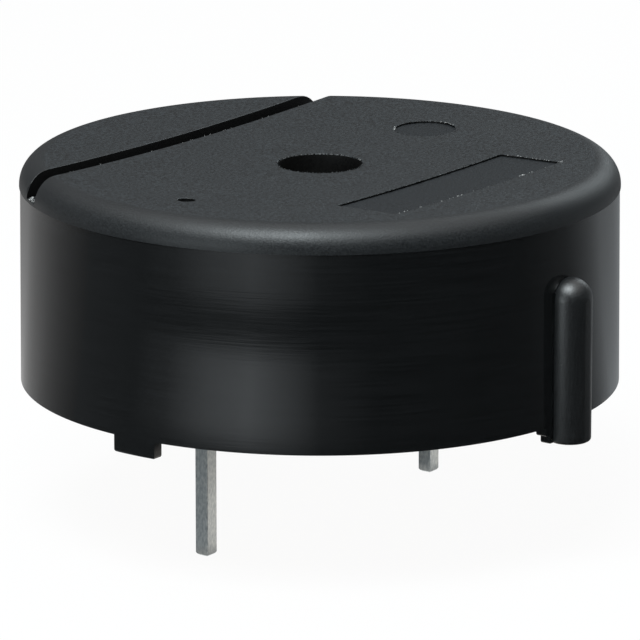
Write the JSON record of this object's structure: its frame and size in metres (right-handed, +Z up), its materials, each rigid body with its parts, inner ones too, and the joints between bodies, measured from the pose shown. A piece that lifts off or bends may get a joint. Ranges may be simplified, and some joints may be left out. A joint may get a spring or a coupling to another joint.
{
  "type": "piezo buzzer",
  "caption": "Round black piezo buzzer for a circuit board, with a sound hole in its rounded cap, an upright locating rib on its wall and square solder pins under it.",
  "frame": {"origin": "centre of the seating plane, which touches the undersides of the four feet, on the axis of the drum", "axes": "+Z up along the drum's axis towards the sound hole; +X from the negative pin to the positive pin; the upright rib is on the -Y side and the slot on the +Y side of the top"},
  "size_m": [0.0242, 0.0252, 0.0148],
  "materials": {
    "case_plastic": "black moulded plastic, finely eroded top face, smoother wall",
    "plate_brass": "rolled brass",
    "disc_ceramic": "unglazed piezo ceramic",
    "fired_silver": "printed and fired silver",
    "white_adhesive": "soft silicone",
    "board_laminate": "resin-bonded laminate",
    "board_copper": "etched copper",
    "tinned_wire": "dull tin plate",
    "solder": "bright solder",
    "transistor_resin": "moulded epoxy",
    "resistor_coat": "dark glaze over ceramic",
    "red_insulation": "red insulation",
    "black_insulation": "black insulation",
    "blue_insulation": "blue insulation",
    "board_resin": "cured dark resin"
  },
  "bodies": {
    "root": {"case": "case_plastic", "diaphragm_plate": "plate_brass", "piezo_ceramic": "disc_ceramic", "main_electrode": "fired_silver", "feedback_electrode": "fired_silver", "diaphragm_adhesive": "white_adhesive", "circuit_board": "board_laminate", "copper_tracks": "board_copper", "pin_lands": "board_copper", "pin_positive": "tinned_wire", "pin_negative": "tinned_wire", "pin_solder": "solder", "transistor_body": "transistor_resin", "transistor_legs": "tinned_wire", "load_resistor": "resistor_coat", "bias_resistor": "resistor_coat", "feedback_resistor": "resistor_coat", "resistor_caps": "solder", "drive_lead": "red_insulation", "plate_lead": "black_insulation", "feedback_lead": "blue_insulation", "board_lead_solder": "solder", "disc_lead_solder": "solder", "board_sealant": "board_resin"}
  },
  "joints": []
}
